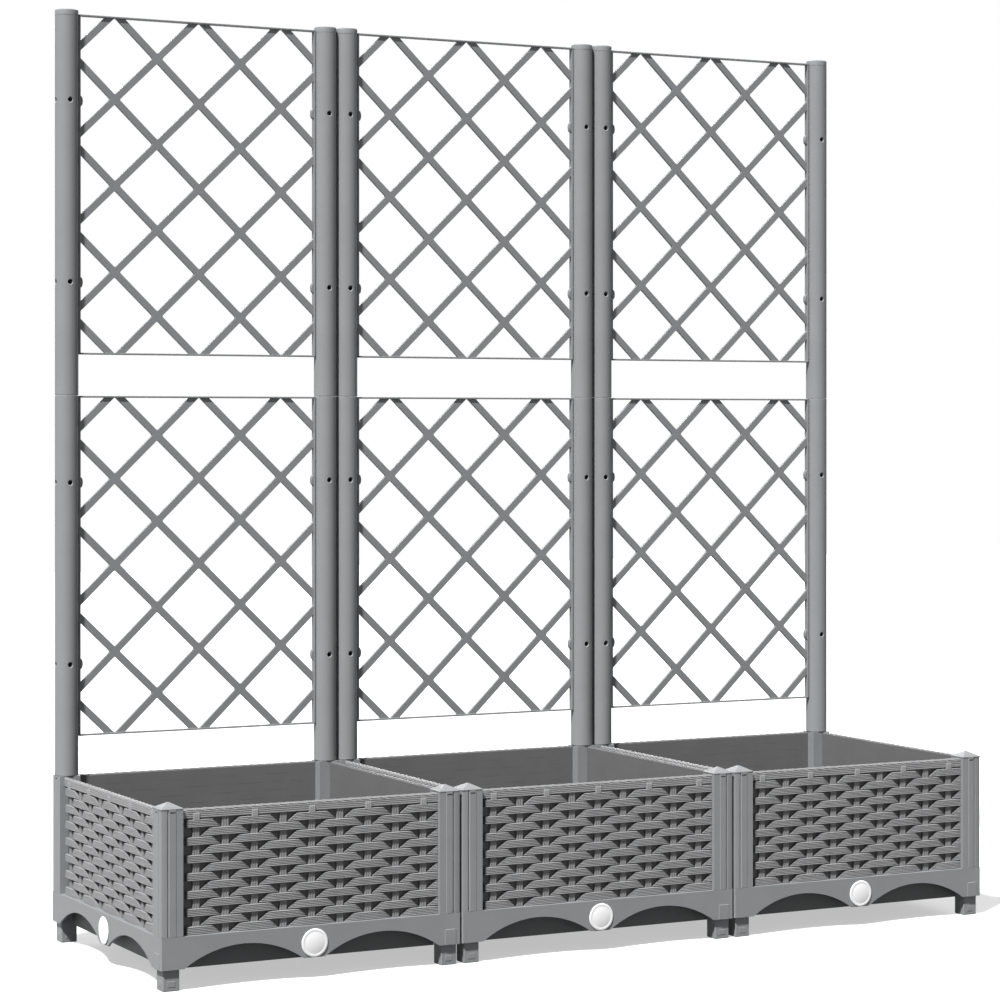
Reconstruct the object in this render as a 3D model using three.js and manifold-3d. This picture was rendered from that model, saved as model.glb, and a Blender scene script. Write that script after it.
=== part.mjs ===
// Planter with trellis: three square woven-look planter boxes side by side, each with a pair of
// round posts at its rear corners and two lattice panels between them. Everything is moulded
// plastic. Millimetres, +Z up; the origin is on the floor under the middle of the row of boxes,
// the front faces -Y.
import * as THREE from "three";
import { ConvexGeometry } from "three/addons/geometries/ConvexGeometry.js";
import { mergeVertices } from "three/addons/utils/BufferGeometryUtils.js";
import Module from "manifold-3d";

const wasm = await Module();
wasm.setup();

// ---------------------------------------------------------------- driving dimensions
const BOX_NAMES = ["left", "middle", "right"];
const BOX_PITCH = 400;
const BOX_GAP = 2.4; // between neighbouring boxes
const BOX_DEPTH_PITCH = BOX_PITCH; // the boxes are square
const PLANTER_HEIGHT = 216.5; // floor to the top of the pillars
const OVERALL_HEIGHT = 1215;
const FIT = 0.3; // clearance between pieces that seat on or in each other
const FLATNESS = 0.001; // faces nearer than this to one plane are merged

// Feet
const FOOT_HEIGHT = 26;
const FOOT_WIDTH = 21;
const SPIGOT_REACH = 22; // above the base frame, inside the pillar

// Base frame
const SKIRT_HEIGHT = 38.7;
const SKIRT_WALL = 3;
const LEDGE_THICKNESS = 3;
const ARCH_NEAR = 14; // from the middle of a side to the near end of each arch
const ARCH_RISE = 24.5;
const ARCH_STEPS = 5;
const PLUG_HOLE_WIDTH = 16; // square hole for the stud of a plug or a link
const PLUG_HEIGHT = 17.6; // above the lower edge of the skirt

// Corner pillars
const PILLAR_WIDTH = 28;
const PILLAR_INSET = 0.6; // behind the face of the skirt
const PILLAR_BORE = 18;
const RIB_START = 9.2; // from the outer edge of the pillar
const RIB_WIDTH = 9.4;
const RIB_RISE = 0.5;
const CAP_RISE = 8;

// Woven walls
const WALL_RECESS = 5; // woven strips behind the pillar face
const STRIP_RISE = 4.5; // strips in front of the wall plate
const WALL_PLATE = 3.5;
const WALL_TONGUE = 3.3; // plate edge inside the pillar
const WALL_TOP_DROP = 0.5; // top of the wall below the top of the pillars
const RAIL_HEIGHT = 12.2;
const STAKE_COUNT = 9;
const STAKE_PITCH = 37.7;
const ROW_PITCH = 10.65;
const STRIP_HEIGHT = 9.5;
const STRIP_UPPER_FLAT = 16; // half of the flat stretch over a stake, along the upper edge
const STRIP_LOWER_FLAT = 27; // and along the lower edge
const STRIP_DIP = 4.1; // how far a strip sinks to pass behind the next stake
const RAIL_TO_STRIP = 1.5;
const STRIP_START_GAP = 6.5; // bare plate beside the left pillar

// Floor tray
const TRAY_INSET = 17.6; // behind the face of the skirt
const TRAY_WALL = 2;
const TRAY_DROP = 2; // below the lower edge of the skirt
const TRAY_RIM = 3;
const DRAIN_PITCH = 160; // between the two slots
const DRAIN_LENGTH = 40;
const DRAIN_WIDTH = 8;

// Plugs and box links
const PLUG_RADIUS = 17.5;
const PLUG_THICKNESS = 1;
const PLUG_SIDES = 12;
const LINK_FLANGE_RADIUS = 14;

// Posts
const POST_RADIUS = 15.25;
const POST_WALL = 2.25;
const POST_SIDES = 12;
const POST_SPIGOT_LENGTH = 40;
const SLEEVE_LENGTH = 60; // inside the joint of the two tubes, half in each
const POST_CAP_HEIGHT = 8; // closed top of the post
const STUD_WIDTH = 5; // square studs of the lattice panels, in holes of the posts
const STUD_SPACING = 237; // between the two stud holes of one tube
const STUD_OFFSET = 9.5; // holes sit this far below the middle of the lattice panel

// Lattice panels
const LATTICE_TOP_DROP = 5; // below the top of the posts
const LATTICE_GAP = 54; // between the upper and the lower panel
const LATTICE_TO_PLANTER = 50.5; // from the lower panel down to the top of the pillars
const LATTICE_BAR = 2.4; // frame bars, seen from the front
const LATTICE_BAR_DEPTH = 8.4;
const SLAT_WIDTH = 9.2;
const SLAT_DEPTH = 4;
const SLAT_PITCH_X = 118.4; // between crossings along a row
const SLAT_PITCH_Z = 113.6; // between crossings up a column

// ---------------------------------------------------------------- derived places
const half = (BOX_PITCH - BOX_GAP) / 2;
const skirtTop = FOOT_HEIGHT + SKIRT_HEIGHT;
const wallBase = skirtTop + FIT;
const pillarFace = half - PILLAR_INSET;
const pillarCentre = pillarFace - PILLAR_WIDTH / 2;
const pillarInner = pillarFace - PILLAR_WIDTH;
const stripFront = pillarFace - WALL_RECESS;
const plateFront = stripFront - STRIP_RISE;
const plateBack = plateFront - WALL_PLATE;
const wallTop = PLANTER_HEIGHT - WALL_TOP_DROP;
const rowStart = STRIP_START_GAP - pillarInner;
const rowEnd = pillarInner - FIT;
const trayHalf = half - TRAY_INSET;
const plugZ = FOOT_HEIGHT + PLUG_HEIGHT;
const postBase = PLANTER_HEIGHT + FIT;
const postTop = OVERALL_HEIGHT - POST_CAP_HEIGHT;
const tubeLength = (postTop - postBase) / 2;
const jointZ = postBase + tubeLength;
const latticeHalf = pillarCentre - POST_RADIUS - FIT;
const latticeTop = OVERALL_HEIGHT - LATTICE_TOP_DROP;
const latticeBottom = PLANTER_HEIGHT + LATTICE_TO_PLANTER;
const latticeHeight = (latticeTop - LATTICE_GAP - latticeBottom) / 2;
const latticeMiddles = {
  upper: latticeTop - latticeHeight / 2,
  lower: latticeBottom + latticeHeight / 2,
};

// ---------------------------------------------------------------- solids
// Turns a closed three.js geometry into a solid that can be joined and cut.
function toSolid(geometry) {
  const plain = geometry.clone();
  plain.deleteAttribute("normal");
  plain.deleteAttribute("uv");
  const merged = mergeVertices(plain, 1e-4);
  const index = merged.index.array;
  const triangles = [];
  for (let i = 0; i < index.length; i += 3) {
    const [a, b, c] = [index[i], index[i + 1], index[i + 2]];
    if (a !== b && b !== c && c !== a) triangles.push(a, b, c);
  }
  const mesh = new wasm.Mesh({
    numProp: 3,
    vertProperties: Float32Array.from(merged.attributes.position.array),
    triVerts: Uint32Array.from(triangles),
  });
  return new wasm.Manifold(mesh);
}

function toGeometry(solid) {
  const { vertProperties, triVerts } = solid.asOriginal().simplify(FLATNESS).getMesh();
  const geometry = new THREE.BufferGeometry();
  geometry.setAttribute("position", new THREE.BufferAttribute(vertProperties, 3));
  geometry.setIndex(new THREE.BufferAttribute(triVerts, 1));
  const faceted = geometry.toNonIndexed();
  faceted.computeVertexNormals();
  return faceted;
}

// A box between two corners.
function block(low, high) {
  const size = high.map((value, axis) => value - low[axis]);
  const geometry = new THREE.BoxGeometry(...size);
  geometry.translate(...low.map((value, axis) => value + size[axis] / 2));
  return toSolid(geometry);
}

function shapeOf(points, holes = []) {
  const shape = new THREE.Shape(points.map(([x, y]) => new THREE.Vector2(x, y)));
  for (const hole of holes) {
    shape.holes.push(new THREE.Path(hole.map(([x, y]) => new THREE.Vector2(x, y))));
  }
  return shape;
}

function extruded(shape, depth) {
  return new THREE.ExtrudeGeometry(shape, { depth, bevelEnabled: false });
}

// A flat outline in X and Y, standing from z = low to z = high.
function standing(points, low, high, holes = []) {
  return toSolid(extruded(shapeOf(points, holes), high - low).translate(0, 0, low));
}

// A turned solid: [radius, height] points from the lower end of the axis round to the upper end.
// The flats of the turned polygon lie at the radius, and face along X and Y.
function turned(profile, sides) {
  const corner = 1 / Math.cos(Math.PI / sides);
  const points = profile.map(([radius, height]) => new THREE.Vector2(radius * corner, height));
  const geometry = new THREE.LatheGeometry(points, sides, Math.PI / sides);
  return toSolid(geometry.rotateX(Math.PI / 2));
}

function square(halfSide) {
  return [[-halfSide, -halfSide], [halfSide, -halfSide], [halfSide, halfSide], [-halfSide, halfSide]];
}

// ---------------------------------------------------------------- base frame and what plugs in it
// Two shallow arches of one side, as outlines in X and Z, sunk a little below the lower edge.
function archOutlines() {
  const chord = pillarInner - 1 - ARCH_NEAR;
  const radius = (chord * chord / 4 + ARCH_RISE * ARCH_RISE) / (2 * ARCH_RISE);
  const reach = Math.asin(chord / 2 / radius);
  const centreZ = FOOT_HEIGHT + ARCH_RISE - radius;
  return [-1, 1].map((side) => {
    const centreX = side * (ARCH_NEAR + chord / 2);
    const points = [];
    for (let step = 0; step <= ARCH_STEPS; step += 1) {
      const angle = reach * (2 * step / ARCH_STEPS - 1);
      points.push([centreX + radius * Math.sin(angle), centreZ + radius * Math.cos(angle)]);
    }
    points.push([centreX + chord / 2, FOOT_HEIGHT - 1], [centreX - chord / 2, FOOT_HEIGHT - 1]);
    return points.reverse();
  });
}

// An outline in X and Z pushed through the whole box along Y.
function pushedThrough(points) {
  const length = 2 * half + 2;
  return toSolid(extruded(shapeOf(points), length).rotateX(Math.PI / 2).translate(0, length / 2, 0));
}

// The square holes of two opposite sides, in one rod.
function plugHoles() {
  const wide = PLUG_HOLE_WIDTH / 2;
  return block([-wide, -half - 1, plugZ - wide], [wide, half + 1, plugZ + wide]);
}

// The rear right corner: a block under the pillar, the foot below it and the spigot that goes
// up into the pillar.
function baseCorner() {
  const around = (reach, low, high) => block(
    [pillarCentre - reach, pillarCentre - reach, low],
    [pillarCentre + reach, pillarCentre + reach, high],
  );
  const outer = half - SKIRT_WALL / 2;
  const core = block([pillarInner, pillarInner, FOOT_HEIGHT], [outer, outer, skirtTop]);
  const foot = around(FOOT_WIDTH / 2, 0, FOOT_HEIGHT + LEDGE_THICKNESS);
  return core.add(foot).add(around(PILLAR_BORE / 2 - FIT, skirtTop - 1, skirtTop + SPIGOT_REACH));
}

function baseFrame() {
  const inner = half - SKIRT_WALL;
  let frame = standing(square(half), FOOT_HEIGHT, skirtTop, [square(inner)]);
  const ledgeLow = skirtTop - LEDGE_THICKNESS;
  frame = frame.add(standing(square(inner + 1), ledgeLow, skirtTop, [square(trayHalf + FIT)]));
  const cuts = [plugHoles(), ...archOutlines().map(pushedThrough)];
  for (const cut of cuts) {
    frame = frame.subtract(cut).subtract(cut.rotate([0, 0, 90]));
  }
  for (let turn = 0; turn < 4; turn += 1) frame = frame.add(baseCorner().rotate([0, 0, 90 * turn]));
  return frame;
}

function withDrainSlots(floor) {
  const [long, wide] = [DRAIN_LENGTH / 2, DRAIN_WIDTH / 2];
  let drained = floor;
  for (const x of [-DRAIN_PITCH / 2, DRAIN_PITCH / 2]) {
    drained = drained.subtract(block([x - wide, -long, 0], [x + wide, long, skirtTop]));
  }
  return drained;
}

// The outline of a square with a square notch at each corner.
function notchedSquare(halfSide, notchStart) {
  const points = [];
  for (let turn = 0; turn < 4; turn += 1) {
    const [c, s] = [Math.round(Math.cos(turn * Math.PI / 2)), Math.round(Math.sin(turn * Math.PI / 2))];
    for (const [x, y] of [[halfSide, -notchStart], [halfSide, notchStart], [notchStart, notchStart]]) {
      points.push([c * x - s * y, s * x + c * y]);
    }
  }
  return points;
}

function floorTray() {
  const notch = pillarInner - FIT;
  const bottom = FOOT_HEIGHT - TRAY_DROP;
  const inside = trayHalf - TRAY_WALL;
  const rimHalf = trayHalf + FIT + TRAY_RIM;
  const wall = notchedSquare(trayHalf, notch);
  const hollow = notchedSquare(inside, notch - TRAY_WALL);
  const floor = withDrainSlots(standing(wall, bottom, bottom + TRAY_WALL));
  const sides = standing(wall, bottom + TRAY_WALL / 2, wallBase + TRAY_WALL, [hollow]);
  const rim = standing(notchedSquare(rimHalf, notch), wallBase, wallBase + TRAY_WALL, [hollow]);
  return floor.add(sides).add(rim);
}

// A blank round plug on the front skirt, its face outward and its square stud through the hole.
function plug() {
  const stud = PLUG_HOLE_WIDTH / 2 - FIT;
  const back = -half - FIT;
  const disc = new THREE.CylinderGeometry(PLUG_RADIUS, PLUG_RADIUS, PLUG_THICKNESS, PLUG_SIDES);
  const face = toSolid(disc.translate(0, back - PLUG_THICKNESS / 2, plugZ));
  const reach = back - PLUG_THICKNESS / 2;
  return face.add(block([-stud, reach, plugZ - stud], [stud, -half + SKIRT_WALL + FIT, plugZ + stud]));
}

// A link between two boxes: a square stud through both skirts, with a round flange in the gap.
function boxLink() {
  const stud = PLUG_HOLE_WIDTH / 2 - FIT;
  const reach = BOX_GAP / 2 + SKIRT_WALL + FIT;
  const flange = new THREE.CylinderGeometry(LINK_FLANGE_RADIUS, LINK_FLANGE_RADIUS, BOX_GAP - 2 * FIT, 8);
  const collar = toSolid(flange.rotateZ(Math.PI / 2).translate(0, 0, plugZ));
  return collar.add(block([-reach, -stud, plugZ - stud], [reach, stud, plugZ + stud]));
}

// ---------------------------------------------------------------- pillars
// The pillar at the front left corner, about its own axis. Its two outer faces carry a flat
// rib; its two inner faces are slotted for the edges of the wall plates.
function pillar() {
  const w = PILLAR_WIDTH / 2;
  const [near, far, rib] = [RIB_START - w, RIB_START + RIB_WIDTH - w, -w - RIB_RISE];
  const slotFront = pillarFace - plateFront - FIT - w;
  const slotBack = pillarFace - plateBack + FIT - w;
  const slotFloor = w - WALL_TONGUE - FIT;
  const outline = [
    [-w, -w], [near, -w], [near, rib], [far, rib], [far, -w],
    [w, -w], [w, slotFront], [slotFloor, slotFront], [slotFloor, slotBack], [w, slotBack],
    [w, w], [slotBack, w], [slotBack, slotFloor], [slotFront, slotFloor], [slotFront, w],
    [-w, w], [-w, far], [rib, far], [rib, near], [-w, near],
  ];
  return standing(outline, wallBase, PLANTER_HEIGHT, [square(PILLAR_BORE / 2)]);
}

// A front pillar ends in a low pyramid.
function cappedPillar() {
  const w = PILLAR_WIDTH / 2;
  const pyramid = new THREE.ConeGeometry(w * Math.SQRT2, CAP_RISE, 4, 1, false, Math.PI / 4);
  return pillar().add(toSolid(pyramid.rotateX(Math.PI / 2).translate(0, 0, PLANTER_HEIGHT + CAP_RISE / 2)));
}

// ---------------------------------------------------------------- woven walls
// The part of a row that arches over one stake. Its front is flat there, on a longer stretch
// along the lower edge, and sinks towards the plate to pass behind the stakes on both sides.
function rowArch(stake, low, high) {
  const stakeX = (number) => (number - (STAKE_COUNT - 1) / 2) * STAKE_PITCH;
  const points = [];
  for (const [z, flat] of [[low, STRIP_LOWER_FLAT], [high, STRIP_UPPER_FLAT]]) {
    for (const side of [-1, 1]) {
      const end = stakeX(stake + side);
      points.push(new THREE.Vector3(stakeX(stake) + side * flat, -stripFront, z));
      points.push(new THREE.Vector3(end, STRIP_DIP - stripFront, z));
      points.push(new THREE.Vector3(end, 1 - plateFront, z));
    }
  }
  return toSolid(new ConvexGeometry(points));
}

// The lower and the upper edge of each row, from the rail down.
function rowEdges() {
  const rows = [];
  let high = wallTop - RAIL_HEIGHT - RAIL_TO_STRIP;
  while (high - STRIP_HEIGHT / 2 > wallBase) {
    rows.push([Math.max(high - STRIP_HEIGHT, wallBase + FIT), high]);
    high -= ROW_PITCH;
  }
  return rows;
}

// The plate that slides into the pillars, with the rail along its top.
function wallPlate() {
  const reach = pillarInner + WALL_TONGUE;
  const plate = block([-reach, -plateFront, wallBase], [reach, -plateBack, wallTop]);
  return plate.add(block([-rowEnd, -stripFront, wallTop - RAIL_HEIGHT], [rowEnd, -plateFront + 1, wallTop]));
}

// The woven wall. Neighbouring rows cover different stakes, so each stake is bare at every
// second row.
function wovenWall() {
  const span = block([rowStart, -stripFront - 1, wallBase], [rowEnd, -plateBack, wallTop]);
  let wall = wallPlate();
  rowEdges().forEach(([low, high], row) => {
    for (let stake = row % 2; stake <= STAKE_COUNT; stake += 2) {
      wall = wall.add(rowArch(stake, low, high).intersect(span));
    }
  });
  return wall;
}

// The same wall in plainer form, with each row of the weave as one straight strip.
function bandedWall() {
  let wall = wallPlate();
  for (const [low, high] of rowEdges()) {
    wall = wall.add(block([rowStart, -stripFront, low], [rowEnd, -plateFront + 1, high]));
  }
  return wall;
}

// ---------------------------------------------------------------- trellis
// A square rod along X at height z.
function studRod(from, to, width, z) {
  return block([from, -width / 2, z - width / 2], [to, width / 2, z + width / 2]);
}

// The stud heights of the lattice panel at that level.
function studHeights(level) {
  const middle = latticeMiddles[level] - STUD_OFFSET;
  return [middle - STUD_SPACING / 2, middle + STUD_SPACING / 2];
}

// One tube of a post about its own axis, with its stud holes towards +X. The lower tube stands
// in the pillar and ends in a sleeve that carries the upper one, which is closed by a flat cap.
function postTube(level) {
  const inner = POST_RADIUS - POST_WALL;
  const spigot = PILLAR_BORE / 2 - FIT;
  const sleeve = inner - FIT;
  const sleeveTop = jointZ + SLEEVE_LENGTH / 2;
  const sleeveBottom = jointZ - SLEEVE_LENGTH / 2;
  const profiles = {
    lower: [
      [0, postBase - POST_SPIGOT_LENGTH], [spigot, postBase - POST_SPIGOT_LENGTH], [spigot, postBase],
      [POST_RADIUS, postBase], [POST_RADIUS, jointZ], [sleeve, jointZ], [sleeve, sleeveTop],
      [sleeve - POST_WALL, sleeveTop], [sleeve - POST_WALL, sleeveBottom], [inner, sleeveBottom],
      [inner, postBase + POST_WALL], [0, postBase + POST_WALL],
    ],
    upper: [
      [0, postTop - POST_WALL], [inner, postTop - POST_WALL], [inner, jointZ + FIT],
      [POST_RADIUS, jointZ + FIT], [POST_RADIUS, OVERALL_HEIGHT], [0, OVERALL_HEIGHT],
    ],
  };
  let tube = turned(profiles[level], POST_SIDES);
  for (const z of studHeights(level)) {
    tube = tube.subtract(studRod(0, POST_RADIUS + 1, STUD_WIDTH + 2 * FIT, z));
  }
  return tube;
}

// Keeps the part of a convex outline where inside(point) is positive.
function clipped(points, inside) {
  const kept = [];
  points.forEach((point, i) => {
    const next = points[(i + 1) % points.length];
    const [here, there] = [inside(point), inside(next)];
    if (here >= 0) kept.push(point);
    if (here * there < 0) {
      const share = here / (here - there);
      kept.push([point[0] + share * (next[0] - point[0]), point[1] + share * (next[1] - point[1])]);
    }
  });
  return kept;
}

// The openings of one lattice panel about its own middle: diamonds between the crossing slats,
// cut off along the frame bars.
function latticeOpenings() {
  const [right, top] = [latticeHalf - LATTICE_BAR, latticeHeight / 2 - LATTICE_BAR];
  const [stepX, stepZ] = [SLAT_PITCH_X / 2, SLAT_PITCH_Z / 2];
  const slope = Math.atan2(stepZ, stepX);
  const shrink = [SLAT_WIDTH / 2 / Math.sin(slope), SLAT_WIDTH / 2 / Math.cos(slope)];
  const [a, b] = [stepX - shrink[0], stepZ - shrink[1]];
  const columns = Math.ceil(right / stepX);
  const rows = Math.ceil(top / stepZ);
  const openings = [];
  for (let column = -columns; column <= columns; column += 1) {
    for (let row = -rows; row <= rows; row += 1) {
      const [x, z] = [column * stepX, row * stepZ];
      let opening = [[x - a, z], [x, z - b], [x + a, z], [x, z + b]];
      const edges = [([u]) => right - u, ([u]) => right + u, ([, v]) => top - v, ([, v]) => top + v];
      for (const edge of edges) opening = clipped(opening, edge);
      const betweenSlats = Math.abs(column + row) % 2 === 1;
      if (betweenSlats && opening.length > 2) openings.push(opening);
    }
  }
  return openings;
}

// A lattice panel in its place between the posts, with two studs on each side.
function latticePanel(level) {
  const [right, top, middle] = [latticeHalf, latticeHeight / 2, latticeMiddles[level]];
  const slab = (inset, depth) => block(
    [inset - right, -depth / 2, middle - top + inset],
    [right - inset, depth / 2, middle + top - inset],
  );
  const frame = slab(0, LATTICE_BAR_DEPTH).subtract(slab(LATTICE_BAR, LATTICE_BAR_DEPTH + 1));
  let slats = slab(LATTICE_BAR / 2, SLAT_DEPTH);
  for (const opening of latticeOpenings()) {
    slats = slats.subtract(pushedThrough(opening).translate([0, 0, middle]));
  }
  let panel = frame.add(slats);
  for (const z of studHeights(level)) {
    for (const side of [-1, 1]) {
      const ends = [side * (right - LATTICE_BAR / 2), side * (right + FIT + POST_WALL)];
      panel = panel.add(studRod(Math.min(...ends), Math.max(...ends), STUD_WIDTH, z));
    }
  }
  return panel;
}

// ---------------------------------------------------------------- materials
function plastic(colour, roughness) {
  return new THREE.MeshStandardMaterial({ color: colour, roughness, metalness: 0 });
}

const materials = {
  greyPlastic: plastic(0x868a8b, 0.55),
  wovenPlastic: plastic(0x868688, 0.6),
  darkPlastic: plastic(0x55595a, 0.6),
  whitePlastic: plastic(0xf4f4f4, 0.4),
};

// ---------------------------------------------------------------- assembly
function named(name, solid, materialName) {
  const mesh = new THREE.Mesh(toGeometry(solid), materials[materialName]);
  mesh.name = name;
  return mesh;
}

const cornerNames = ["front_left", "front_right", "rear_right", "rear_left"];
const sideNames = ["front", "right", "rear", "left"];
const boxX = (box) => (box - (BOX_NAMES.length - 1) / 2) * BOX_PITCH;

// Walls against a neighbouring box are plain. Those behind and on the right keep only the rows.
function wallForm(box, sideName) {
  const last = BOX_NAMES.length - 1;
  if ((sideName === "right" && box < last) || (sideName === "left" && box > 0)) return "plain";
  return sideName === "front" || sideName === "left" ? "woven" : "banded";
}

const planter = new THREE.Group();
const wallSolids = { woven: wovenWall(), banded: bandedWall(), plain: wallPlate() };
const pillarSolids = [cappedPillar(), cappedPillar(), pillar(), pillar()];
const frameSolid = baseFrame();
const traySolid = floorTray();

BOX_NAMES.forEach((boxName, box) => {
  const group = new THREE.Group();
  group.position.x = boxX(box);
  sideNames.forEach((sideName, turn) => {
    const side = new THREE.Group();
    side.rotation.z = turn * Math.PI / 2;
    side.add(named(`${boxName}_wall_${sideName}`, wallSolids[wallForm(box, sideName)], "wovenPlastic"));
    const corner = named(`${boxName}_pillar_${cornerNames[turn]}`, pillarSolids[turn], "greyPlastic");
    corner.position.set(-pillarCentre, -pillarCentre, 0);
    side.add(corner);
    group.add(side);
  });
  group.add(named(`${boxName}_base_frame`, frameSolid, "greyPlastic"));
  group.add(named(`${boxName}_floor_tray`, traySolid, "darkPlastic"));
  for (const level of ["upper", "lower"]) {
    const lattice = named(`${boxName}_lattice_${level}`, latticePanel(level), "greyPlastic");
    lattice.position.y = pillarCentre;
    group.add(lattice);
    for (const [sideName, sign] of [["left", -1], ["right", 1]]) {
      const tube = named(`${boxName}_post_${sideName}_${level}`, postTube(level), "greyPlastic");
      tube.position.set(sign * pillarCentre, pillarCentre, 0);
      tube.rotation.z = sign > 0 ? Math.PI : 0;
      group.add(tube);
    }
  }
  planter.add(group);
});

// A plug in the skirt of every side that faces outward, and a link where two boxes meet.
BOX_NAMES.forEach((boxName, box) => {
  sideNames.forEach((sideName, turn) => {
    if (wallForm(box, sideName) === "plain") return;
    const piece = named(`${boxName}_plug_${sideName}`, plug(), "whitePlastic");
    piece.position.x = boxX(box);
    piece.rotation.z = turn * Math.PI / 2;
    planter.add(piece);
  });
  if (box === 0) return;
  const link = named(`link_${BOX_NAMES[box - 1]}_${boxName}`, boxLink(), "darkPlastic");
  link.position.x = (boxX(box - 1) + boxX(box)) / 2;
  planter.add(link);
});

export default planter;
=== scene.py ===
"""Looks for the planter with trellis: woven walls, ribbed pillars, arched skirts, round posts,
lattice panels and blank plugs, all in moulded plastic, on a plain pale floor.

Lengths are metres, and named profiles are tuples in millimetres. A piece of a box is built
about the box's own middle, for its front side, and is then turned about +Z for the other sides
and moved along X to each box."""

import math

import bmesh
import bpy
from mathutils import Matrix, Vector

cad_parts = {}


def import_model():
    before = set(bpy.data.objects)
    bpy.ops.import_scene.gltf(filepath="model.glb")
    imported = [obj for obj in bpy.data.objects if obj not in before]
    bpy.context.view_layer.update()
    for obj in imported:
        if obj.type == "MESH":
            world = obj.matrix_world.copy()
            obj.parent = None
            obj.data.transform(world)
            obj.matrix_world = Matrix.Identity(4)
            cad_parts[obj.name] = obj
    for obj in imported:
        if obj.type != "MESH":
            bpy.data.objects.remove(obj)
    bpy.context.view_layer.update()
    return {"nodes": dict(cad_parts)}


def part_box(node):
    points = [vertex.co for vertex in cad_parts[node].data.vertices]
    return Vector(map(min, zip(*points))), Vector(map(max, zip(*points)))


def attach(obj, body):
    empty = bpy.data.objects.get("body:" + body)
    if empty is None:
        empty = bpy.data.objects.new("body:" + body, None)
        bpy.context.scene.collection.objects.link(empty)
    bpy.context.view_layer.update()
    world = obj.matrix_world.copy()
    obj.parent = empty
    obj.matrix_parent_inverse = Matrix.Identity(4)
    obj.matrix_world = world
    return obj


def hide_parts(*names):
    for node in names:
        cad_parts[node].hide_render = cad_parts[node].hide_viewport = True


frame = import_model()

MM = 0.001
BOXES = ("left", "middle", "right")
SIDES = ("front", "right", "rear", "left")  # a quarter turn apart
CORNERS = ("front_left", "front_right", "rear_right", "rear_left")
LEVELS = ("lower", "upper")

# ---------------------------------------------------------------- places read from the frame
BASE_HIGH = Vector(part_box("middle_base_frame")[1])
PILLAR_LOW, PILLAR_HIGH = (Vector(corner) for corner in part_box("middle_pillar_front_left"))
REAR_PILLAR_HIGH = Vector(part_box("middle_pillar_rear_left")[1])
WALL_LOW, WALL_HIGH = (Vector(corner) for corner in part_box("middle_wall_front"))
LOWER_POST_LOW = Vector(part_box("middle_post_left_lower")[0])
UPPER_POST_LOW, UPPER_POST_HIGH = (Vector(corner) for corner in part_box("middle_post_left_upper"))

CLEARANCE = 0.3 * MM  # between pieces that seat on each other
HALF = BASE_HIGH.x
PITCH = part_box("right_base_frame")[1][0] - HALF
PILLAR_TOP = REAR_PILLAR_HIGH.z
PILLAR_WIDTH = 28 * MM
PILLAR_FACE = PILLAR_WIDTH - PILLAR_HIGH.x  # outer flat of a pillar from the box's middle
PILLAR_CENTRE = PILLAR_FACE - PILLAR_WIDTH / 2
PILLAR_INNER = PILLAR_FACE - PILLAR_WIDTH
SKIRT_TOP = WALL_LOW.z - CLEARANCE
FOOT_HEIGHT = 26 * MM

# ---------------------------------------------------------------- sizes of the woven walls
STRIP_FRONT = -WALL_LOW.y
PLATE_FRONT = STRIP_FRONT - 6.3 * MM
PLATE_BACK = -WALL_HIGH.y
PLATE_LAP = 3 * MM  # how far the plate runs into the pillars
PLATE_BELOW_EDGE = 2 * MM

STAKE_PITCH = 37.7 * MM
STAKE_COUNT = 9
STAKE_WIDTH = 9.4 * MM
STAKE_DEPTH = 2.4 * MM  # of a stake's front behind that of the strips
STAKE_RIBS = 3
STAKE_RIB_DEPTH = 0.5 * MM
STAKE_ROUNDING = 0.9 * MM
STAKE_SUNK = 1 * MM  # how far the back of a stake lies in the plate
STAKE_LAP = 1 * MM  # how far a stake runs up behind the rail

STAKE_END_WIDTH = 0.94 * STAKE_WIDTH
STAKE_END_RIB_DEPTH = 0.3 * MM
STAKE_END_ROUNDING = 0.7 * MM
STAKE_END_SUNK = 0.7 * MM
STAKE_END_BELOW_RAIL = 2 * MM
STAKE_END_BELOW_EDGE = 5 * MM
STAKE_END_PROFILE = ((0, 0.1), (0.72, 0.1), (0.9, 0.5), (1, 1.4))  # (share of height, set back)

ROW_PITCH = 10.65 * MM
STRIP_HEIGHT = 9.5 * MM
STRIP_UPPER_REACH = 20.5 * MM  # from the stake that a strip covers to the end of its upper edge
STRIP_LOWER_REACH = 32.5 * MM  # and to the end of its lower edge
STRIP_FLAT = 11 * MM  # half of the stretch that lies level over the stake
STRIP_ARCH = 3.0 * MM  # how far a strip curves back by the next stake
STRIP_STATIONS = (0.3, 0.5, 0.65, 0.8, 0.9)  # shares of the reach where a strip is bent
STRIP_CUT = 0.8 * MM  # width of the step down to the plate at a strip's ends
STRIP_CUT_SUNK = 0.4 * MM  # how far that step goes into the plate
STRIP_SAG = 0.8 * MM  # how far a strip hangs lower where it goes behind a stake
STRIP_RIBS = 5
STRIP_RIB_DEPTH = 0.7 * MM
STRIP_ROUNDING = 0.7 * MM
STRIP_SUNK = 1.5 * MM  # how far the back of a strip or rail lies in the plate
STRIP_START_GAP = 6.5 * MM
LOWEST_ROW_GAP = 2 * MM
RIB_STEPS = 4  # points along each rib

RAIL_HEIGHT = 12.2 * MM  # of the rail and the braid over it
RAIL_TO_STRIP = 1.5 * MM
RAIL_SET_BACK = 0.9 * MM
RAIL_BELOW_EDGE = 3.3 * MM
RAIL_RIBS = 4
RAIL_RIB_DEPTH = 0.45 * MM
RAIL_ROUNDING = 0.6 * MM

BRAID_PITCH = 12 * MM
BRAID_RADIUS = 1.9 * MM
BRAID_SWEEP = 0.9 * MM
BRAID_FLATNESS = 0.6  # height of the sweep over its width
BRAID_WIDENING = 1.2  # width of a strand over its height
BRAID_SIDES = 8
BRAID_STEPS = 6  # along each pitch

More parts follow.
